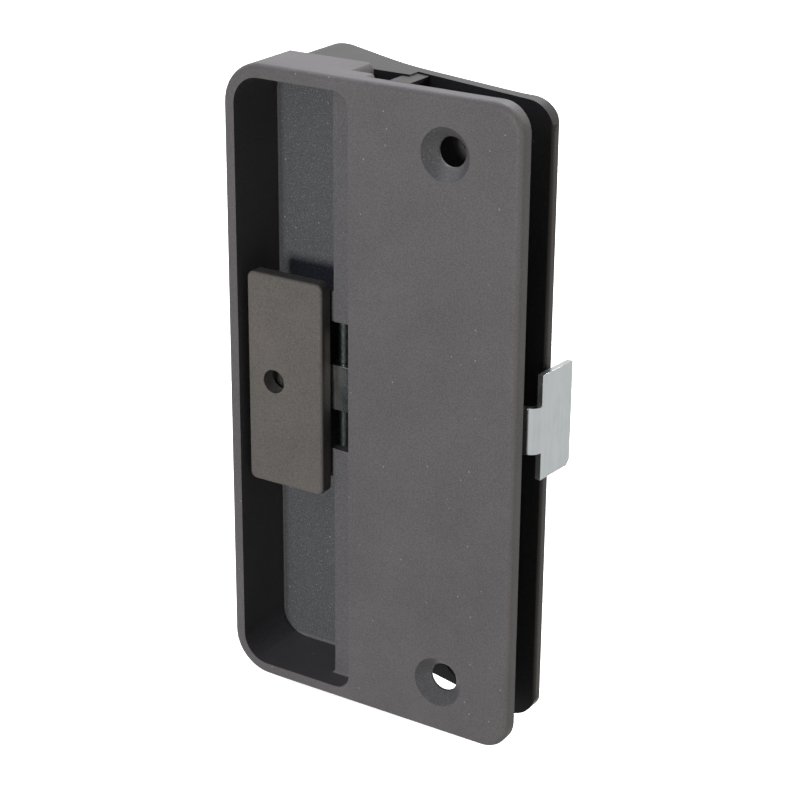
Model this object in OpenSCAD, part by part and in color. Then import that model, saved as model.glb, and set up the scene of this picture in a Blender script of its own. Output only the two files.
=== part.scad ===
// Sliding door latch and pull set: an inside pull with a finger pocket and a thumb lever, a steel
// latch lever that rocks on a pin, and an outside pull that closes the back.
// Millimetres. +X runs from the pocket to the hook, +Y into the door, +Z up.
// The origin is midway between the two screw holes, on the rear face of the front plate.

/* [Front plate] */
// Width of the front plate
plate_w = 58; // [54:0.5:66]
// Height of the front plate
plate_h = 115; // [111:0.5:130]
// Thickness of the front plate
plate_t = 2.8; // [2.6:0.1:3.4]
// Corner radius on the pocket side
pocket_side_r = 7.5; // [6:0.5:9]
// Corner radius on the hook side
hook_side_r = 5; // [3.5:0.5:7]
// Rounding of the front edge
edge_r = 1.1; // [0.6:0.1:1.3]

/* [Screw holes] */
// Distance between the two screw holes
hole_pitch = 95.25; // [88:0.25:98]
// Diameter of a screw hole
hole_d = 5.2; // [4:0.1:6]
// Diameter of a countersink at the front face
sink_d = 9.2; // [8.4:0.1:10]
// Depth of a countersink
sink_deep = 2.3; // [1.6:0.1:2.4]
// Distance from the screw holes to the hook side edge
hole_inset = 14; // [10:0.5:18]

/* [Pocket] */
// Width of the pocket's rim
rim_w = 2.35; // [2:0.05:3]
// Width of the pocket's opening
pocket_w = 23.1; // [21.5:0.1:26]
// Depth of the pocket from the front face
pocket_deep = 12.6; // [12.2:0.1:14]
// Corner radius of the pocket's opening, left
pocket_r = 5; // [4:0.5:6]
// Corner radius of the pocket's opening, right
pocket_right_r = 3; // [2:0.5:4]
// Thickness of the pocket's floor
floor_t = 2.2; // [2:0.1:3]
// Thickness of the pocket's right wall
wall_t = 2.2; // [1.8:0.1:2.6]
// Width of the shelf along the pocket's right side
shelf_w = 5.6; // [5:0.1:6.5]
// Depth of the shelf from the front face
shelf_deep = 4; // [3.8:0.1:4.1]
// Thickness of the shelf
shelf_t = 1.6; // [1.2:0.1:1.65]
// Corner radius of the tub beside the shelf
tub_r = 3; // [1:0.5:3.5]
// Lean of the tub's top and bottom walls, in degrees
draft_a = 3; // [1:0.5:3.5]
// Height of the window in the shelf
window_h = 23.8; // [20:0.1:26]
// How far the latch's middle lies above the plate's middle
latch_up = 1.5; // [0:0.1:3]

/* [Thumb button] */
// Width of the thumb button
button_w = 15.6; // [14:0.1:15.8]
// Height of the thumb button
button_h = 39.2; // [36:0.1:42]
// Thickness of the thumb button
button_t = 2.8; // [2.4:0.1:2.9]
// Distance from the front plate's plane back to the button's face
button_sunk = 0.8; // [0.6:0.1:0.9]
// Gap between the rim and the button
button_gap = 1.4; // [1.2:0.1:2]
// How far the button's middle lies below the latch's middle
button_drop = 0.5; // [0:0.1:1.5]
// Corner radius of the button
button_r = 1.3; // [0.8:0.1:2]
// Rounding of the button's front edge
button_edge_r = 0.6; // [0.3:0.1:0.8]
// Diameter of the hole in the button
button_hole_d = 4.3; // [3.5:0.1:5]
// Distance from the button's left edge to its hole
button_hole_x = 5.5; // [4:0.1:7]

/* [Latch lever] */
// Thickness of the lever's sheet
sheet_t = 1.1; // [0.9:0.1:1.2]
// Height of the lever's arm
arm_h = 8.3; // [7:0.1:9]
// Distance from the front face to the arm
arm_deep = 4.3; // [4.2:0.1:4.4]
// How far the arm's middle lies below the latch's middle
arm_drop = 0.4; // [0:0.1:1]
// How far the arm rises towards the hook
arm_rise = 0.6; // [0:0.1:2]
// Diameter of the small hole near the arm's free end
eye_d = 3.2; // [2.6:0.1:3.4]
// Inside radius of the bend
bend_r = 1; // [0.8:0.1:1.4]
// Height of the hook plate
hook_h = 18.8; // [15:0.1:22]
// Length of the hook plate, front to back
hook_l = 8.8; // [7:0.1:11]
// How far the hook plate's middle lies above the arm's end
hook_up = 0.3; // [0:0.1:1.5]
// Clipped corner of the hook plate
hook_clip = 0.9; // [0.4:0.1:1.5]
// Outward lean of the hook plate, in degrees
hook_flare = 5; // [3:1:8]
// Gap between the pulls' side edge and the hook plate
hook_gap = 0.6; // [0.6:0.1:1.2]

/* [Pivot] */
// Diameter of the pivot pin
pin_d = 2.4; // [2:0.1:2.8]
// Length of the pivot pin
pin_l = 28.4; // [27:0.2:30]
// Distance from the shelf's left edge to the pivot pin
pin_x = 0.3; // [0.1:0.1:0.8]
// Distance from the front face to the pivot pin
pin_deep = 7; // [6.9:0.1:7.2]
// Radial clearance of the lever on the pin
run_gap = 0.05; // [0.02:0.01:0.1]
// Half width of a lever ear
ear_half = 1.7; // [1.5:0.1:1.9]
// Distance from the pivot pin to the end of an ear
ear_reach = 2.4; // [2.2:0.1:2.5]
// Travel of the lever, in degrees
throw_a = 7; // [4:0.5:7]

/* [Detent spring] */
// Thickness of the spring's leaf
leaf_t = 0.4; // [0.3:0.1:0.6]
// Width of the spring's leaf
leaf_w = 3.8; // [3:0.1:4]
// How far the leaf reaches into a pin block at each end
leaf_in = 1.8; // [1.2:0.1:2.4]
// Height of a pin block
block_l = 5.4; // [4:0.1:5.8]
// Width of a pin block
block_w = 5.2; // [4.8:0.1:5.6]

/* [Outside pull] */
// How far the outside pull stops short of the inside pull, above and below
back_short = 1.6; // [0.5:0.1:2.5]
// How far the outside pull stops short of the inside pull on the pocket side
back_in = 0.8; // [0.5:0.1:1.2]
// Corner radius of the outside pull on the pocket side
back_r = 6; // [5:0.5:8]
// Distance from the front face to the outside pull's inner face
back_deep = 10.4; // [10.4:0.1:11]
// Thickness of the outside pull at the hook side
back_t = 2.6; // [2:0.1:3]
// Thickness of the grip's shell
shell_t = 2.2; // [1.8:0.1:2.4]
// Depth from the front face to the grip's crest
crest_deep = 27; // [26:0.2:28.4]
// Radius of the crest on the slope's side
crest_r = 3; // [2:0.5:4]
// Distance from the pocket side to that crest
crest_x = 7.4; // [6.5:0.1:9]
// Slope of the grip's long flank, in degrees
slope_a = 24.5; // [23:0.5:27]
// Slope of the outside pull between that flank and the hook side, in degrees
lean_a = 13.5; // [11:0.5:15]
// Distance from the hook side to where that slope ends
lean_end = 6.5; // [6:0.5:9]
// Radius of the blend between the flank and the slope
flank_blend_r = 60; // [30:5:60]
// Radius of the blend at the slope's end
lean_blend_r = 30; // [15:5:35]
// Depth of the hollow in the grip's short flank
grip_deep = 1.4; // [0.8:0.1:1.6]
// Distance from the pocket side to the long rib inside
rib_x = 28.8; // [27:0.1:31]
// Thickness of that rib
rib_t = 1.2; // [0.8:0.1:1.6]
// How far that rib stands in front of the inner face
rib_up = 0.9; // [0.4:0.1:1.4]
// Width of the rib's flared ends
rib_flare = 4; // [2:0.2:5]
// Diameter of the screw bosses
boss_d = 7; // [6.4:0.1:8]
// How far the screw bosses stand in front of the inner face
boss_up = 2; // [1:0.1:2.4]
// Diameter of the screws' pilot holes
pilot_d = 3.4; // [3:0.1:3.8]
// Thickness that stays behind a pilot hole
pilot_floor = 0.9; // [0.7:0.1:1.2]

/* [Fits] */
// Gap between the two pulls where they nest
nest_gap = 0.15; // [0.1:0.05:0.3]
// Gap between the lever and the button's guides
guide_gap = 0.1; // [0.05:0.05:0.2]
// Gap between parts that move past each other
move_gap = 0.3; // [0.25:0.05:0.4]

/* [Hidden] */
$fn = 64;
cut = 1;                                            // how far a cutter runs past a face
hole_x = plate_w - hole_inset;
half_h = plate_h / 2;
hole_z = hole_pitch / 2;
pocket_x1 = rim_w + pocket_w;                       // right edge of the pocket's opening
shelf_x = pocket_x1 - shelf_w;                      // left edge of the shelf
tub_x1 = shelf_x + wall_t;                          // outer face of the tub's right wall
tub_y1 = pocket_deep + floor_t;                     // outer face of the tub's floor
part_y = pocket_deep + 0.8;                         // where the two pulls meet
step_x1 = pocket_x1 + shelf_t;                      // right face of the step beside the shelf
shelf_y1 = shelf_deep + shelf_t;
pivot_x = shelf_x + pin_x;
ear_y1 = pin_deep + ear_reach;
snap_w = pin_d - 0.3;                               // mouth of the pin's seats, a little narrower than the pin
// The leaf lies just behind the corner that an ear reaches at the end of its travel
leaf_y0 = pin_deep + ear_half * sin(throw_a) + ear_reach * cos(throw_a) + move_gap;
leaf_half = window_h / 2 + leaf_in;
block_x0 = pivot_x - block_w / 2;
block_z0 = window_h / 2;
arm_y1 = arm_deep + sheet_t;
arm_x0 = rim_w + button_gap + 0.9;                  // the arm's free end, behind the button
eye_x = rim_w + button_gap + button_hole_x - 3.2;   // the arm's own small hole, beside the button's hole
arm_step = step_x1 + 2;                             // where the arm starts to rise
arm_z = latch_up - arm_drop;
neck_z = arm_z + arm_rise;
hook_z = neck_z + hook_up;
back_w = plate_w - 0.2;
bend_x = back_w + hook_gap + 0.2 - bend_r;
bend_y = arm_y1 + bend_r;
button_x0 = rim_w + button_gap;
button_y1 = button_sunk + button_t;
button_z = latch_up - button_drop;
back_y1 = back_deep + back_t;                       // outer face of the outside pull at the hook side
crest_y = crest_deep - crest_r;
// Two straight slopes run from the crest to the hook side, with a wide blend at the end of each
flank_n = [sin(slope_a), cos(slope_a)];             // outward directions of the two slopes
lean_n = [sin(lean_a), cos(lean_a)];
slope_top = [crest_x, crest_y] + crest_r * flank_n;
flat_x = back_w - lean_end;
lean_in = shell_t / cos(lean_a);                    // the shell's thickness along Y under the second slope
flank_x = (slope_top[1] + tan(slope_a) * slope_top[0] - lean_y(0)) / (tan(slope_a) - tan(lean_a));
flank_p = [flank_x, lean_y(flank_x)];               // where the slopes would meet
flank_c = flank_p + flank_blend_r / cos((slope_a - lean_a) / 2) * mid_n(slope_a, lean_a);
lean_c = [flat_x, back_y1] + lean_blend_r / cos(lean_a / 2) * mid_n(lean_a, 0);
inner_x = flat_x + (back_t - lean_in) / tan(lean_a);    // where the inner face becomes flat
rib_y1 = lean_y(rib_x + rib_flare) - 0.5;
boss_y1 = lean_y(hole_x + boss_d / 2) - 0.3;
pilot_y1 = lean_y(hole_x + pilot_d / 2) - pilot_floor;
grip_y0 = part_y + 0.8;
grip_y1 = crest_deep - 2.6;
grip_half = (grip_y1 - grip_y0) / 2;
grip_r = (grip_half * grip_half + grip_deep * grip_deep) / (2 * grip_deep);
back_half = half_h - back_short;
nest_half = back_half - shell_t;                    // inside of the outside pull's top and bottom walls
nest_r = back_r - shell_t;

// Outer face of the outside pull's second slope at a given X
function lean_y(x) = back_y1 + tan(lean_a) * (flat_x - x);

// Outward direction half way between two slopes
function mid_n(a, b) = [sin((a + b) / 2), cos((a + b) / 2)];

// Places a piece drawn from the plate's left edge, front face and middle into the part's frame
module in_frame() translate([-hole_x, -plate_t, 0]) children();

// Extrudes an outline in X and Z between two depths
module along_y(y0, y1) translate([0, y1, 0]) rotate([90, 0, 0]) linear_extrude(y1 - y0) children();

// Extrudes an outline in X and Y between two heights
module along_z(z0, z1) translate([0, 0, z0]) linear_extrude(z1 - z0) children();

// A panel outline in X and Z with its own corner radius on each side
module panel(x0, x1, half, left_r, right_r) {
    translate([x0 + left_r, -half]) square([x1 - right_r - x0 - left_r, 2 * half]);
    translate([x0, left_r - half]) square([left_r + 0.01, 2 * (half - left_r)]);
    translate([x1 - right_r - 0.01, right_r - half]) square([right_r + 0.01, 2 * (half - right_r)]);
    for (s = [-1, 1]) {
        translate([x0 + left_r, s * (half - left_r)]) circle(left_r);
        translate([x1 - right_r, s * (half - right_r)]) circle(right_r);
    }
}

// A slab whose front edge is rounded all the way round, from y0 back to y1
module soft_slab(x0, x1, half, left_r, right_r, y0, y1, r) {
    along_y(y0, y1) panel(x0 + r, x1 - r, half - r, left_r - r, right_r - r);
    along_y(y0 + r, y1) panel(x0, x1, half, left_r, right_r);
    for (s = [-1, 1]) {
        translate([x0 + left_r, y0 + r, s * (half - r)]) rotate([0, 90, 0])
            cylinder(r = r, h = x1 - right_r - x0 - left_r);
        for (c = [[x0 + left_r, left_r], [x1 - right_r, right_r]])
            translate([c[0], y0 + r, s * (half - c[1])]) rotate([90, 0, 0])
                rotate_extrude() translate([c[1] - r, 0]) circle(r);
    }
    translate([x0 + r, y0 + r, left_r - half]) cylinder(r = r, h = 2 * (half - left_r));
    translate([x1 - r, y0 + r, right_r - half]) cylinder(r = r, h = 2 * (half - right_r));
}

// The two blocks between the shelf and the floor that carry the pin and the spring
module pin_blocks() {
    for (s = [-1, 1])
        translate([block_x0, shelf_deep + 0.2, latch_up + (s > 0 ? block_z0 : -block_z0 - block_l)])
            cube([tub_x1 - block_x0, pocket_deep - shelf_deep, block_l]);
}

module tub() {
    difference() {
        union() {
            along_y(edge_r, part_y) panel(0, tub_x1, half_h, pocket_side_r, tub_r);
            along_y(edge_r, shelf_y1) panel(tub_x1 - 4, step_x1, half_h, 1, 1);
        }
        // Behind the plate the top and bottom walls lean inwards
        for (m = [0, 1]) mirror([0, 0, m]) translate([-cut, plate_t, half_h]) rotate([-draft_a, 0, 0])
            cube([step_x1 + 2 * cut, tub_y1, 3]);
    }
    along_y(part_y - 0.01, tub_y1)
        panel(back_in + shell_t + nest_gap, tub_x1, nest_half - nest_gap, nest_r, 1);
}

module inside_pull() {
    color("#5a5450") in_frame() difference() {
        union() {
            soft_slab(0, plate_w, half_h, pocket_side_r, hook_side_r, 0, plate_t, edge_r);
            difference() {
                tub();
                along_y(-cut, pocket_deep)
                    panel(rim_w, shelf_x, half_h - rim_w, pocket_r, 1);
                along_y(-cut, shelf_deep)
                    panel(rim_w, pocket_x1, half_h - rim_w, pocket_r, pocket_right_r);
            }
            pin_blocks();
        }
        along_y(-cut, plate_t + cut) panel(rim_w, pocket_x1, half_h - rim_w, pocket_r, pocket_right_r);
        translate([rim_w + cut, plate_t, latch_up - window_h / 2])
            cube([step_x1 - rim_w, tub_y1 - floor_t - plate_t - 0.01, window_h]);
        for (s = [-1, 1]) {
            translate([hole_x, -cut, s * hole_z]) rotate([-90, 0, 0]) cylinder(d = hole_d, h = plate_t + 2 * cut);
            translate([hole_x, 0, s * hole_z]) rotate([-90, 0, 0])
                cylinder(d1 = sink_d, d2 = hole_d, h = sink_deep);
        }
        // The pin snaps in from the pocket, and the leaf slides in from the side
        translate([0, 0, latch_up]) {
            translate([pivot_x, pin_deep, -pin_l / 2 - run_gap])
                cylinder(d = pin_d + 2 * run_gap, h = pin_l + 2 * run_gap);
            translate([block_x0 - cut, pin_deep - snap_w / 2, -pin_l / 2 - run_gap])
                cube([block_w / 2 + cut, snap_w, pin_l + 2 * run_gap]);
            translate([pivot_x - leaf_w / 2, leaf_y0 - run_gap, -leaf_half - run_gap])
                cube([block_w, leaf_t + 2 * run_gap, 2 * (leaf_half + run_gap)]);
        }
    }
}

// Outline of the outside pull seen from above, before its hollows
module back_outline() {
    difference() {
        union() {
            polygon([
                [0, part_y + nest_gap], [rib_x, part_y + nest_gap], [rib_x, lean_y(rib_x) - lean_in],
                [inner_x, back_deep], [back_w - 0.6, back_deep], [back_w, back_deep + 0.6],
                [back_w, back_y1 - 1], [back_w - 1, back_y1], [lean_c[0], back_y1],
                lean_c - lean_blend_r * lean_n, flank_c - flank_blend_r * lean_n,
                flank_c - flank_blend_r * flank_n, slope_top,
                [crest_x, crest_deep], [2.6, crest_deep], [0, crest_deep - 2.6]
            ]);
            translate([crest_x, crest_y]) circle(crest_r);
            translate([2.6, crest_deep - 2.6]) circle(2.6);
            translate([back_w - 1, back_y1 - 1]) circle(1);
            translate([back_w - 0.6, back_deep + 0.6]) circle(0.6);
        }
        translate(lean_c) circle(lean_blend_r, $fn = 200);
        translate(flank_c) circle(flank_blend_r, $fn = 200);
        translate([back_in + grip_deep - grip_r, (grip_y0 + grip_y1) / 2]) circle(grip_r, $fn = 96);
    }
}

// The hollow behind the tub and beside it, as far as the long rib, inside the grip's shell
module grip_hollow() {
    left = back_in + grip_deep + shell_t;
    polygon([
        [left, part_y - cut], [rib_x, part_y - cut], [rib_x, lean_y(rib_x) - lean_in],
        flank_p - shell_t / cos((slope_a - lean_a) / 2) * mid_n(slope_a, lean_a),
        slope_top - shell_t * flank_n, [crest_x, crest_deep - shell_t], [left, crest_deep - shell_t]
    ]);
}

// The long rib's outline in X and Z, flared where it meets the top and bottom walls
module rib_outline() {
    mid = rib_x + rib_t / 2;
    top = back_half - 0.3;
    translate([rib_x, -top]) square([rib_t, 2 * top]);
    for (s = [-1, 1])
        polygon([
            [mid - rib_flare / 2, s * top], [mid + rib_flare / 2, s * top],
            [mid + rib_t / 2, s * (top - 2.2)], [mid - rib_t / 2, s * (top - 2.2)]
        ]);
}

module outside_pull() {
    color("#3a3634") in_frame() difference() {
        union() {
            difference() {
                intersection() {
                    along_z(-half_h, half_h) back_outline();
                    along_y(back_deep - cut, crest_deep + cut)
                        panel(back_in, back_w, back_half, back_r, hook_side_r);
                }
                intersection() {
                    along_z(-half_h, half_h) grip_hollow();
                    along_y(back_deep - 2 * cut, crest_deep + cut)
                        panel(back_in, back_w, nest_half, nest_r, hook_side_r);
                }
                along_y(back_deep - cut, tub_y1 + nest_gap)
                    panel(back_in + shell_t, tub_x1 + nest_gap, nest_half, nest_r, 1);
            }
            along_y(back_deep - rib_up, rib_y1) rib_outline();
            for (s = [-1, 1])
                translate([hole_x, back_deep - boss_up, s * hole_z]) rotate([-90, 0, 0])
                    cylinder(d = boss_d, h = boss_y1 - back_deep + boss_up);
        }
        for (s = [-1, 1])
            translate([hole_x, back_deep - boss_up - cut, s * hole_z]) rotate([-90, 0, 0])
                cylinder(d = pilot_d, h = pilot_y1 - back_deep + boss_up + cut);
    }
}

module thumb_button() {
    guide_y1 = arm_y1 + guide_gap;
    guide_x = arm_x0 + 4;
    guide_l = shelf_x - move_gap - 2.6 - guide_x;
    color("#6b625c") in_frame() difference() {
        union() {
            translate([0, 0, button_z])
                soft_slab(button_x0, button_x0 + button_w, button_h / 2, button_r, button_r,
                    button_sunk, button_y1, button_edge_r);
            // Two guides hold the arm's upper and lower edge, and their lips close behind it
            for (s = [-1, 1])
                translate([guide_x, button_y1 - 0.2, arm_z]) {
                    translate([0, 0, s > 0 ? arm_h / 2 + guide_gap : -arm_h / 2 - guide_gap - 1.4])
                        cube([guide_l, guide_y1 + 0.9 - button_y1 + 0.2, 1.4]);
                    translate([0, guide_y1 - button_y1 + 0.2, s > 0 ? arm_h / 2 - 0.9 : -arm_h / 2 - 0.6])
                        cube([guide_l, 0.9, 1.5]);
                }
            translate([guide_x + guide_l - 4, button_y1 - 0.2, arm_z - arm_h / 2 + 1])
                cube([4, arm_deep - guide_gap - button_y1 + 0.2, arm_h - 2]);
        }
        translate([button_x0 + button_hole_x, -cut, button_z]) rotate([-90, 0, 0])
            cylinder(d = button_hole_d, h = button_y1 + cut + 1);
    }
}

// The arm's outline in X and Z: level behind the pocket, then rising a little towards the hook
module arm_outline() {
    end = arm_h / 2;
    difference() {
        union() {
            polygon([
                [arm_x0 + 1, arm_z - end], [arm_step, arm_z - end], [bend_x, neck_z - end],
                [bend_x, neck_z + end], [arm_step, arm_z + end], [arm_x0 + 1, arm_z + end],
                [arm_x0, arm_z + end - 1], [arm_x0, arm_z - end + 1]
            ]);
            for (s = [-1, 1]) translate([arm_x0 + 1, arm_z + s * (end - 1)]) circle(1);
        }
        translate([eye_x, arm_z]) circle(d = eye_d);
    }
}

// The hook plate's outline in Y and Z, with its lower rear corner clipped
module hook_outline() {
    polygon([
        [0, hook_z - hook_h / 2], [hook_l - hook_clip, hook_z - hook_h / 2],
        [hook_l, hook_z - hook_h / 2 + hook_clip], [hook_l, hook_z + hook_h / 2], [0, hook_z + hook_h / 2]
    ]);
}

module latch_lever() {
    color("#c2cbd0") in_frame() difference() {
        union() {
            along_y(arm_deep, arm_y1) arm_outline();
            for (s = [-1, 1])
                translate([pivot_x - ear_half, arm_deep, arm_z + s * (arm_h - sheet_t) / 2 - sheet_t / 2])
                    cube([2 * ear_half, ear_y1 - arm_deep, sheet_t]);
            translate([bend_x, bend_y, neck_z - arm_h / 2]) rotate([0, 0, -90])
                rotate_extrude(angle = 90 - hook_flare) translate([bend_r, 0]) square([sheet_t, arm_h]);
            translate([bend_x, bend_y, 0]) rotate([0, 0, -hook_flare]) translate([bend_r, 0, 0])
                rotate([90, 0, 90]) linear_extrude(sheet_t) hook_outline();
        }
        translate([pivot_x, pin_deep, arm_z - arm_h]) cylinder(d = pin_d + 2 * run_gap, h = 2 * arm_h);
    }
}

module pivot_pin() {
    color("#55585a") in_frame() translate([pivot_x, pin_deep, latch_up - pin_l / 2])
        cylinder(d = pin_d, h = pin_l);
}

module detent_spring() {
    color("#8c9296") in_frame() translate([pivot_x - leaf_w / 2, leaf_y0, latch_up - leaf_half])
        cube([leaf_w, leaf_t, 2 * leaf_half]);
}

inside_pull();
outside_pull();
thumb_button();
latch_lever();
pivot_pin();
detent_spring();
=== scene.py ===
import math
import bpy
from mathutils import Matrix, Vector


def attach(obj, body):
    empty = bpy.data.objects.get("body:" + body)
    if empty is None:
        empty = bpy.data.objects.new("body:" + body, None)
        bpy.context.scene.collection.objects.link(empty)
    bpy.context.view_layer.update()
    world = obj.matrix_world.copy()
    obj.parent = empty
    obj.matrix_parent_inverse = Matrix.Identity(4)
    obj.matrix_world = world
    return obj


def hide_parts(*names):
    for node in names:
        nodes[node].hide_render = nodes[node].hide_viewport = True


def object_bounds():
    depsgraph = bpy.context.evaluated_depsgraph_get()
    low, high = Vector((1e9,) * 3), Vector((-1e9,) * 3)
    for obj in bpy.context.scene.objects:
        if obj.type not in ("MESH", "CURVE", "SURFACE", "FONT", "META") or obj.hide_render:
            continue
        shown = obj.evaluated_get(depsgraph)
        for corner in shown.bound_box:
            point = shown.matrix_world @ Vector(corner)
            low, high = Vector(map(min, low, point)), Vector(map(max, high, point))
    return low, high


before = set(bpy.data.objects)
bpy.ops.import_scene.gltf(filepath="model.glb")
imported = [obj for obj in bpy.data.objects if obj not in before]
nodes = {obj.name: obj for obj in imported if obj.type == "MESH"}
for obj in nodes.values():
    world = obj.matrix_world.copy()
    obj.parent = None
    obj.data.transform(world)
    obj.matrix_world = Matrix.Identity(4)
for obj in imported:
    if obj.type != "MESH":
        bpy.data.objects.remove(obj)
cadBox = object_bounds()
mm = 0.001
print("stage 1: frame loaded:", ", ".join(sorted(nodes)))


# sRGB hex to the linear colour that Blender's sockets take
def hexLinear(text):
    channels = []
    for start in (1, 3, 5):
        value = int(text[start:start + 2], 16) / 255
        channels.append(value / 12.92 if value <= 0.04045 else ((value + 0.055) / 1.055) ** 2.4)
    return (*channels, 1.0)


def grey(value):
    return (value, value, value)


def scaled(colour, factor):
    return tuple(min(1.0, c * factor) for c in colour[:3])


# the scale of a pattern with one feature in this many millimetres
def pitch(lengthMm):
    return 1 / (lengthMm * mm)


# Adds one node; a socket's value is a plain value or another node's output, which is linked
def addNode(tree, kind, sockets=None, **settings):
    made = tree.nodes.new(kind)
    for name, value in settings.items():
        setattr(made, name, value)
    for key, value in (sockets or {}).items():
        if isinstance(value, bpy.types.NodeSocket):
            tree.links.new(value, made.inputs[key])
        else:
            made.inputs[key].default_value = value
    return made


def addMath(tree, operation, *values):
    return addNode(tree, "ShaderNodeMath", dict(enumerate(values)), operation=operation).outputs["Value"]


# A colour mix has its factor in socket 0, its colours in 6 and 7 and its result in output 2
def addMix(tree, share, first, second, blend="MIX"):
    return addNode(tree, "ShaderNodeMix", {0: share, 6: first, 7: second},
                   data_type="RGBA", blend_type=blend).outputs[2]


def addNoise(tree, place, scale, detail, **sockets):
    return addNode(tree, "ShaderNodeTexNoise",
                   {"Vector": place, "Scale": scale, "Detail": detail, **sockets}).outputs["Fac"]


def addRamp(tree, factor, stops):
    ramp = addNode(tree, "ShaderNodeValToRGB", {"Fac": factor})
    points = ramp.color_ramp.elements
    while len(points) < len(stops):
        points.new(0.5)
    for point, (place, colour) in zip(points, stops):
        point.position = place
        point.color = (*colour[:3], 1.0)
    return ramp.outputs["Color"]


# Goes from 0 to 1 as a length in metres goes from one value to another, both in millimetres
def between(tree, length, startMm, endMm):
    return addNode(tree, "ShaderNodeMapRange",
                   {"Value": length, "From Min": startMm * mm, "From Max": endMm * mm}).outputs["Result"]


def newMaterial(name):
    made = bpy.data.materials.new(name)
    made.use_nodes = True
    tree = made.node_tree
    tree.nodes.clear()
    surface = addNode(tree, "ShaderNodeOutputMaterial").inputs["Surface"]
    return made, tree, surface


# Painted shade and reflection: the pocket's ledge and floor and the two countersinks get a darker, cooler,
# coarser tone, with painted glints for a fine sparkle
def pocketShadeAndGlints(tree, place, tone, pocket):
    axes = addNode(tree, "ShaderNodeSeparateXYZ", {"Vector": place}).outputs
    height = addMath(tree, "ABSOLUTE", axes["Z"])
    blend = pocket["blendMm"]
    ledgeFrom, floorFrom, floorFull = pocket["depthStops"]
    ledge = grey(pocket["ledgeShare"])
    deep = addRamp(tree, between(tree, axes["Y"], pocket["frontMm"], pocket["floorMm"]),
                   [(0.0, grey(0.0)), (ledgeFrom, ledge), (floorFrom, ledge), (floorFull, grey(1.0))])
    inside = addMath(tree, "MULTIPLY",
                     between(tree, axes["X"], pocket["leftMm"] - blend, pocket["leftMm"]),
                     between(tree, height, pocket["halfMm"], pocket["halfMm"] - blend))
    inPocket = addMath(tree, "MULTIPLY", deep, inside)
    # a countersink lies round its screw's axis, so its distance is taken in X and Z
    offAxis = addMath(tree, "SUBTRACT", height, pocket["screwUpMm"] * mm)
    across = addNode(tree, "ShaderNodeCombineXYZ", {"X": axes["X"], "Z": offAxis}).outputs["Vector"]
    reach = addNode(tree, "ShaderNodeVectorMath", {0: across}, operation="LENGTH").outputs["Value"]
    inSink = addMath(tree, "MULTIPLY",
                     between(tree, reach, pocket["sinkMm"], pocket["sinkMm"] - blend), pocket["sinkShare"])
    share = addMath(tree, "MAXIMUM", inPocket, inSink)
    # painted glints: bright specks that stand for light caught by the grain
    sparkle = addNoise(tree, place, pitch(pocket["glintPitchMm"]), 1.0)
    shadeTone = hexLinear(pocket["colour"])
    bright = hexLinear(pocket["glintHex"])
    glint = addRamp(tree, sparkle, [(0.36, scaled(shadeTone, pocket["glintGapShade"])), (0.62, shadeTone), (0.8, bright)])
    return addMix(tree, share, tone, glint)


# Moulded ABS with a fine spark-eroded grain: a soft sheen, a slight mottle and a few pale dust specks
def mouldedAbs(name, colour, specks=1.0, rough=0.5, shine=0.14, pocket=None):
    look = {
        "grainMm": 0.26,                # pitch of the spark-eroded grain, a little coarser so that it shows
        "grainTones": (0.84, 1.15),     # what the grain's low and high spots do to the colour
        "grainRough": (-0.07, 0.1),     # and to the roughness
        "bumpMm": 0.015, "bumpShare": 0.25,
        "mottleMm": 14.0,               # slow change of tone across the moulding
        "mottleTones": (0.93, 1.07),
        "speckMm": 2.2,                 # distance between dust specks
        "speckSize": 0.045,             # radius of a speck, as a share of that distance
        "speckFade": 1.7,               # radius at which it has faded out, in radii
        "speckSkip": 0.5,               # share of the specks that are left out
        "dustHex": "#8f8a84",
        "ior": 1.5,
    }
    made, tree, surface = newMaterial(name)
    place = addNode(tree, "ShaderNodeTexCoord").outputs["Object"]
    grain = addNoise(tree, place, pitch(look["grainMm"]), 2.0, Roughness=0.55)
    mottle = addNoise(tree, place, pitch(look["mottleMm"]), 3.0, Roughness=0.6)
    cells = addNode(tree, "ShaderNodeTexVoronoi", feature="F1", sockets={
        "Vector": place, "Scale": pitch(look["speckMm"]), "Randomness": 1.0}).outputs
    base = hexLinear(colour)
    dark, light = look["mottleTones"]
    tone = addRamp(tree, mottle, [(0.3, scaled(base, dark)), (0.7, scaled(base, light))])
    low, high = look["grainTones"]
    fine = addRamp(tree, grain, [(0.34, grey(low)), (0.68, grey(high))])
    # in the pocket, painted shade, painted reflection and painted glints go into the colour
    if pocket:
        tone = pocketShadeAndGlints(tree, place, tone, pocket)
    body = addMix(tree, 1.0, tone, fine, "MULTIPLY")
    dot = addRamp(tree, cells["Distance"],
                  [(look["speckSize"], grey(specks)), (look["speckSize"] * look["speckFade"], grey(0.0))])
    cellColour = addNode(tree, "ShaderNodeSeparateColor", {"Color": cells["Color"]}).outputs
    kept = addMath(tree, "GREATER_THAN", cellColour["Red"], look["speckSkip"])
    final = addMix(tree, addMath(tree, "MULTIPLY", dot, kept), body, hexLinear(look["dustHex"]))
    smoother, rougher = look["grainRough"]
    sheen = addRamp(tree, grain, [(0.3, grey(rough + smoother)), (0.7, grey(rough + rougher))])
    bump = addNode(tree, "ShaderNodeBump",
                   {"Height": grain, "Strength": look["bumpShare"], "Distance": look["bumpMm"] * mm})
    shader = addNode(tree, "ShaderNodeBsdfPrincipled",
                     {"Base Color": final, "Roughness": sheen, "Normal": bump.outputs["Normal"],
                      "IOR": look["ior"], "Specular IOR Level": shine})
    tree.links.new(shader.outputs["BSDF"], surface)
    return made


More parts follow.
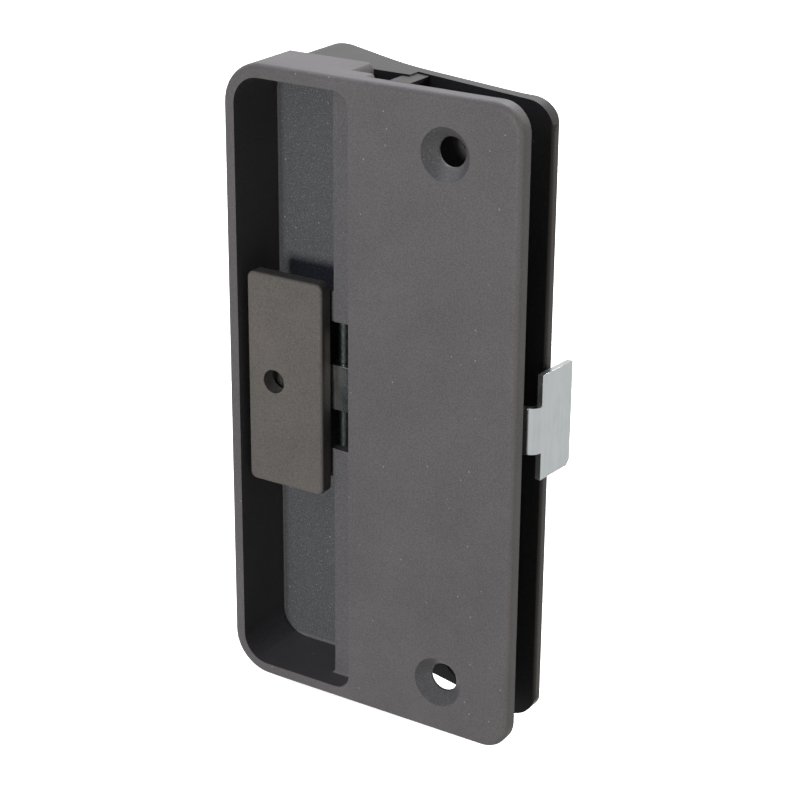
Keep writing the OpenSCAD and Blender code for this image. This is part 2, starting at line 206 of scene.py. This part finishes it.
# Bright zinc plating on sheet steel: bluish white, with faint drawn streaks along the height
def zincPlate(name):
    look = {
        "streakMm": 0.5, "streakLongMm": 9.0,       # width and length of a streak
        "cloudMm": 3.0,                             # pitch of the cloudy patches
        "darkHex": "#aeb3b3", "middleHex": "#b1b6b6", "lightHex": "#b5b9b9",
        "roughness": (0.21, 0.26),
        "bumpMm": 0.01, "bumpShare": 0.12,
    }
    made, tree, surface = newMaterial(name)
    place = addNode(tree, "ShaderNodeTexCoord").outputs["Object"]
    stretch = (pitch(look["streakMm"]), pitch(look["streakMm"]), pitch(look["streakLongMm"]))
    stretched = addNode(tree, "ShaderNodeMapping", {"Vector": place, "Scale": stretch}).outputs["Vector"]
    streak = addNoise(tree, stretched, 1.0, 3.0)
    cloud = addNoise(tree, place, pitch(look["cloudMm"]), 4.0, Roughness=0.6)
    both = addMath(tree, "MULTIPLY", addMath(tree, "ADD", streak, cloud), 0.5)
    tone = addRamp(tree, both, [(0.4, hexLinear(look["darkHex"])), (0.5, hexLinear(look["middleHex"])),
                                (0.6, hexLinear(look["lightHex"]))])
    smooth, rough = look["roughness"]
    sheen = addRamp(tree, both, [(0.42, grey(smooth)), (0.6, grey(rough))])
    bump = addNode(tree, "ShaderNodeBump",
                   {"Height": both, "Strength": look["bumpShare"], "Distance": look["bumpMm"] * mm})
    shader = addNode(tree, "ShaderNodeBsdfPrincipled", {
        "Base Color": tone, "Metallic": 1.0, "Roughness": sheen, "Normal": bump.outputs["Normal"]})
    tree.links.new(shader.outputs["BSDF"], surface)
    return made


# Drawn steel wire and strip: darker and duller than the plated lever; the wire's darker colour is partly
# painted shade
def plainSteel(name, colour):
    look = {"scratchMm": 0.4, "scratchTones": (0.8, 1.15), "roughness": (0.32, 0.5)}
    made, tree, surface = newMaterial(name)
    place = addNode(tree, "ShaderNodeTexCoord").outputs["Object"]
    scratch = addNoise(tree, place, pitch(look["scratchMm"]), 3.0)
    base = hexLinear(colour)
    dark, light = look["scratchTones"]
    tone = addRamp(tree, scratch, [(0.35, scaled(base, dark)), (0.7, scaled(base, light))])
    smooth, rough = look["roughness"]
    sheen = addRamp(tree, scratch, [(0.3, grey(smooth)), (0.7, grey(rough))])
    shader = addNode(tree, "ShaderNodeBsdfPrincipled",
                     {"Base Color": tone, "Metallic": 1.0, "Roughness": sheen})
    tree.links.new(shader.outputs["BSDF"], surface)
    return made


pocketShadeLook = {
    # colour of the painted shade and reflection in the pocket, and of its painted glints
    "colour": "#4f5255", "glintHex": "#7c8286",
    "glintPitchMm": 0.24, "glintGapShade": 0.86,     # pitch of the painted glints, and the painted shade between them
    "blendMm": 0.1,                         # width over which one tone goes into the other
    "frontMm": -2.3, "floorMm": 9.4,        # depths of the plate's front region and of the pocket's floor
    "depthStops": (0.04, 0.95, 0.98),       # shares of that depth: ledge from, floor from, floor in full
    "ledgeShare": 0.38,                     # how much of the painted pocket shade the ledge shows
    "leftMm": -41.2, "halfMm": 54.6,        # inner face of the left wall, and of the top and bottom walls
    "screwUpMm": 47.625, "sinkMm": 4.6,     # height of each screw's axis, and a countersink's radius
    "sinkShare": 0.6,                       # how much of the painted pocket shade a countersink shows
}
absFront = mouldedAbs("mouldedAbsFront", "#5e5c5e", pocket=pocketShadeLook)
absBack = mouldedAbs("mouldedAbsBack", "#3c3b3b", specks=0.5, rough=0.42)
absButton = mouldedAbs("mouldedAbsButton", "#615e5b", specks=0.5, rough=0.42, shine=0.06)
zincLever = zincPlate("zincPlatedSteel")
# the pin's steel is duller than the zinc, and its dark colour is also painted shade for its place deep in the
# window
shadedWirePin = plainSteel("drawnSteelWireInShade", "#3f4544")
stripSpring = plainSteel("springSteelStrip", "#80868a")
print("stage 2: materials made")

dressing = {
    "mergeMm": 0.002,           # points closer than this become one
    "flatDeg": 0.4,             # facets that differ by less than this are joined
    "straightDeg": 1,           # points on a rim that turns by less than this go
    "nearMm": 0.01,             # how exactly a point is taken to lie on a line
    "cutMm": 0.001,             # and on a cut
    "edgeSegments": 2,
    "smoothDeg": 40,            # edges sharper than this stay sharp in the shading
    "faceWeight": 80,           # how far the large faces rule the shading
}


def clearSelection():
    if bpy.context.object and bpy.context.object.mode != "OBJECT":
        bpy.ops.object.mode_set(mode="OBJECT")
    bpy.ops.object.select_all(action="DESELECT")


# Selects the faces or edges of a piece for which a test holds, and leaves it in edit mode
def pick(made, kind, test):
    bpy.ops.object.mode_set(mode="EDIT")
    bpy.ops.mesh.select_mode(type=kind)
    bpy.ops.mesh.select_all(action="DESELECT")
    bpy.ops.object.mode_set(mode="OBJECT")
    for item in (made.data.polygons if kind == "FACE" else made.data.edges):
        item.select = test(item)
    bpy.ops.object.mode_set(mode="EDIT")


def openEdges(made):
    uses = {}
    for face in made.data.polygons:
        for key in face.edge_keys:
            uses[key] = uses.get(key, 0) + 1
    return {key for key, count in uses.items() if count == 1}


# Rounds the straight front edge at the top (side 1) or bottom (side -1), where the solid has a small step:
# the step is cut out between the two round corners, and their end arcs are bridged
def roundEdge(made, side, look):
    near = dressing["nearMm"] * mm
    radius = look["roundMm"] * mm
    spots = [v.co for v in made.data.vertices]
    front = min(p.y for p in spots)
    edge = max(side * p.z for p in spots)
    leftEnd = min(p.x for p in spots) + look["leftCornerMm"] * mm
    rightEnd = max(p.x for p in spots) - look["rightCornerMm"] * mm

    def inBand(face):
        places = [made.data.vertices[i].co for i in face.vertices]
        return all(front - near < p.y < front + radius + near
                   and edge - radius - near < side * p.z < edge + near for p in places)

    for x in (leftEnd, rightEnd):
        pick(made, "FACE", inBand)
        bpy.ops.mesh.bisect(plane_co=(x, 0, 0), plane_no=(1, 0, 0), threshold=dressing["cutMm"] * mm)
        bpy.ops.object.mode_set(mode="OBJECT")
    pick(made, "FACE", lambda face: inBand(face) and leftEnd < face.center.x < rightEnd)
    bpy.ops.mesh.delete(type="FACE")
    bpy.ops.object.mode_set(mode="OBJECT")
    rim = openEdges(made)
    pick(made, "EDGE", lambda line: line.key in rim)
    straight = math.radians(dressing["straightDeg"])
    bpy.ops.mesh.dissolve_limited(angle_limit=straight, use_dissolve_boundaries=True)
    bpy.ops.object.mode_set(mode="OBJECT")
    rim = openEdges(made)

    def isArc(line):
        first, second = (made.data.vertices[i].co for i in line.vertices)
        return line.key in rim and abs(first.x - second.x) < near

    pick(made, "EDGE", isArc)
    bpy.ops.mesh.bridge_edge_loops()
    bpy.ops.object.mode_set(mode="OBJECT")


# A dressed copy of a solid: joined facets, softened edges and smooth shading
def softCopy(node, piece, body, material, look):
    clearSelection()
    source = nodes[node]
    made = bpy.data.objects.new(piece, source.data.copy())
    made.data.name = piece
    bpy.context.scene.collection.objects.link(made)
    bpy.context.view_layer.objects.active = made
    made.select_set(True)
    bpy.ops.object.mode_set(mode="EDIT")
    bpy.ops.mesh.select_all(action="SELECT")
    bpy.ops.mesh.remove_doubles(threshold=dressing["mergeMm"] * mm)
    bpy.ops.mesh.dissolve_limited(angle_limit=math.radians(dressing["flatDeg"]), delimit={"NORMAL"})
    bpy.ops.object.mode_set(mode="OBJECT")
    if "roundMm" in look:
        roundEdge(made, 1, look)
        roundEdge(made, -1, look)
    bevel = made.modifiers.new("softEdge", "BEVEL")
    bevel.width = look["edgeMm"] * mm
    bevel.segments = dressing["edgeSegments"]
    bevel.limit_method = "ANGLE"
    bevel.angle_limit = math.radians(look["sharpDeg"])
    bpy.ops.object.modifier_apply(modifier=bevel.name)
    bpy.ops.object.shade_smooth_by_angle(angle=math.radians(dressing["smoothDeg"]))
    flat = made.modifiers.new("flatFaces", "WEIGHTED_NORMAL")
    flat.keep_sharp = True
    flat.weight = dressing["faceWeight"]
    bpy.ops.object.modifier_apply(modifier=flat.name)
    made.data.materials.clear()
    made.data.materials.append(material)
    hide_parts(node)
    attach(made, body)
    clearSelection()
    print("   ", piece, "has", len(made.data.polygons), "faces")


# The pin and the spring keep their CAD nodes and take a material only
def paint(node, material):
    data = nodes[node].data
    data.materials.clear()
    data.materials.append(material)


insideLook = {
    "edgeMm": 0.2,              # softening of the moulding's sharp edges
    "sharpDeg": 40,             # an edge sharper than this is softened
    "roundMm": 1.1,             # the rounding along the plate's front edge
    "leftCornerMm": 7.5,        # corner radius on the pocket side
    "rightCornerMm": 5.0,       # corner radius on the hook side
}
outsideLook = {"edgeMm": 0.25, "sharpDeg": 40}
buttonLook = {"edgeMm": 0.12, "sharpDeg": 40, "roundMm": 0.6, "leftCornerMm": 1.3, "rightCornerMm": 1.3}
leverLook = {"edgeMm": 0.1, "sharpDeg": 40}
softCopy("inside_pull", "insidePull", "housing", absFront, insideLook)
softCopy("outside_pull", "outsidePull", "housing", absBack, outsideLook)
softCopy("thumb_button", "thumbButton", "lever", absButton, buttonLook)
softCopy("latch_lever", "latchLever", "lever", zincLever, leverLook)
paint("pivot_pin", shadedWirePin)
paint("detent_spring", stripSpring)
print("stage 3: pieces dressed")

cameraSetup = {
    "place": (0.16895, -0.28284, 0.13962),
    "turnDeg": (68.8092, -0.4071, 32.4677),
    "lensMm": 95.93,
    "sensorMm": 36.0,
    "shiftUp": -0.0508,
    "nearM": 0.01, "farM": 20,
}
lens = bpy.data.cameras.new("studioCamera")
lens.lens = cameraSetup["lensMm"]
lens.sensor_width = cameraSetup["sensorMm"]
lens.sensor_fit = "HORIZONTAL"
lens.shift_y = cameraSetup["shiftUp"]
lens.clip_start = cameraSetup["nearM"]
lens.clip_end = cameraSetup["farM"]
camera = bpy.data.objects.new("studioCamera", lens)
camera.location = cameraSetup["place"]
camera.rotation_euler = [math.radians(a) for a in cameraSetup["turnDeg"]]
bpy.context.scene.collection.objects.link(camera)
bpy.context.scene.camera = camera
print("stage 4: camera placed")

# each lamp shines at the latch; the side one isn't mirrored, so the hook plate shows the plain room
lamps = {
    "key": {"watt": 11.3, "sizeM": 0.24, "place": (-0.06, -1.15, 0.06), "hex": "#fffaf5", "mirrored": True},
    "fill": {"watt": 0.8, "sizeM": 0.30, "place": (-0.12, -0.58, 0.42), "hex": "#dfe8ff", "mirrored": True},
    "top": {"watt": 10.4, "sizeM": 0.40, "place": (-0.10, 0.42, 0.72), "hex": "#ffffff", "mirrored": True},
    "side": {"watt": 4.0, "sizeM": 0.35, "place": (0.80, 0.22, 0.20), "hex": "#fff4e6", "mirrored": False},
}
studio = {
    "floorDropMm": 6.0,         # how far below the latch the floor lies
    "floorSizeM": 6,
    "floorHex": "#f4f4f4",      # what the camera sees
    "floorGlow": 0.85,          # light added to that, so that the floor stays pale far from the lamps
    "bounceHex": "#6a6a6a",     # what the floor throws back on the object
    "white": (1, 1, 1, 1), "whiteGlow": 1.0,        # the floor in mirrors, and the backdrop
    "roomHex": "#eef2f6", "roomLight": 0.10,        # what the room sheds on the object
    "cardPlace": (-0.16, -0.22), "cardSizeM": 0.36, "cardRiseMm": 1.0,      # on the floor at the front left
    "cardHex": "#1d2428",
}


def softbox(name, look):
    lamp = bpy.data.lights.new(name + "Softbox", "AREA")
    lamp.energy = look["watt"]
    lamp.size = look["sizeM"]
    lamp.color = hexLinear(look["hex"])[:3]
    made = bpy.data.objects.new(name + "Softbox", lamp)
    made.location = look["place"]
    aim = -made.location
    made.rotation_euler = aim.to_track_quat("-Z", "Y").to_euler()
    made.visible_glossy = look["mirrored"]
    bpy.context.scene.collection.objects.link(made)


def levelPlane(name, sizeM, place, material):
    clearSelection()
    bpy.ops.mesh.primitive_plane_add(size=sizeM, location=place)
    made = bpy.context.object
    made.name = name
    bpy.ops.object.transform_apply(location=True, rotation=True, scale=True)
    made.data.materials.append(material)
    return made


for lampName, lampLook in lamps.items():
    softbox(lampName, lampLook)

# The floor is plain white in mirrors, pale and lit for the camera, and greyer in what it throws back
floorMaterial, floorTree, floorSurface = newMaterial("paleFloor")
floorRay = addNode(floorTree, "ShaderNodeLightPath").outputs
floorMirrored = addMath(floorTree, "MAXIMUM", floorRay["Is Glossy Ray"], floorRay["Is Transmission Ray"])
matte = addNode(floorTree, "ShaderNodeBsdfDiffuse", {"Color": hexLinear(studio["floorHex"])}).outputs["BSDF"]
bounce = addNode(floorTree, "ShaderNodeBsdfDiffuse",
                 {"Color": hexLinear(studio["bounceHex"])}).outputs["BSDF"]
glow = addNode(floorTree, "ShaderNodeEmission",
               {"Color": studio["white"], "Strength": studio["floorGlow"]}).outputs["Emission"]
lit = addNode(floorTree, "ShaderNodeAddShader", {0: matte, 1: glow}).outputs["Shader"]
plain = addNode(floorTree, "ShaderNodeEmission",
                {"Color": studio["white"], "Strength": studio["whiteGlow"]}).outputs["Emission"]
floorShown = addNode(floorTree, "ShaderNodeMixShader",
                     {0: floorRay["Is Camera Ray"], 1: bounce, 2: lit}).outputs["Shader"]
floorMix = addNode(floorTree, "ShaderNodeMixShader", {0: floorMirrored, 1: floorShown, 2: plain})
floorTree.links.new(floorMix.outputs["Shader"], floorSurface)
floorHeight = cadBox[0][2] - studio["floorDropMm"] * mm
floor = levelPlane("studioFloor", studio["floorSizeM"], (0, 0, floorHeight), floorMaterial)

# A dark card that only reflections see: it keeps the lever's arm dark
cardMaterial, cardTree, cardSurface = newMaterial("blackFelt")
felt = addNode(cardTree, "ShaderNodeBsdfDiffuse", {"Color": hexLinear(studio["cardHex"])}).outputs["BSDF"]
cardTree.links.new(felt, cardSurface)
card = levelPlane("darkCard", studio["cardSizeM"],
                  (*studio["cardPlace"], floorHeight + studio["cardRiseMm"] * mm), cardMaterial)
card.visible_camera = False
card.visible_diffuse = False
card.visible_transmission = False
card.visible_shadow = False

# The backdrop is white wherever it is seen, directly or in a mirror, and sheds a little light as the room
world = bpy.data.worlds.new("paleRoom")
bpy.context.scene.world = world
world.use_nodes = True
roomTree = world.node_tree
roomTree.nodes.clear()
roomOut = addNode(roomTree, "ShaderNodeOutputWorld")
roomRay = addNode(roomTree, "ShaderNodeLightPath").outputs
seenDirectly = addMath(roomTree, "MAXIMUM", roomRay["Is Camera Ray"], roomRay["Is Transmission Ray"])
backdropSeen = addMath(roomTree, "MAXIMUM", seenDirectly, roomRay["Is Glossy Ray"])
room = addNode(roomTree, "ShaderNodeBackground",
               {"Color": hexLinear(studio["roomHex"]), "Strength": studio["roomLight"]}).outputs["Background"]
backdrop = addNode(roomTree, "ShaderNodeBackground",
                   {"Color": studio["white"], "Strength": studio["whiteGlow"]}).outputs["Background"]
roomMix = addNode(roomTree, "ShaderNodeMixShader", {0: backdropSeen, 1: room, 2: backdrop}).outputs["Shader"]
roomTree.links.new(roomMix, roomOut.inputs["Surface"])
bpy.context.scene.view_settings.view_transform = "Standard"
print("stage 5: studio lit")
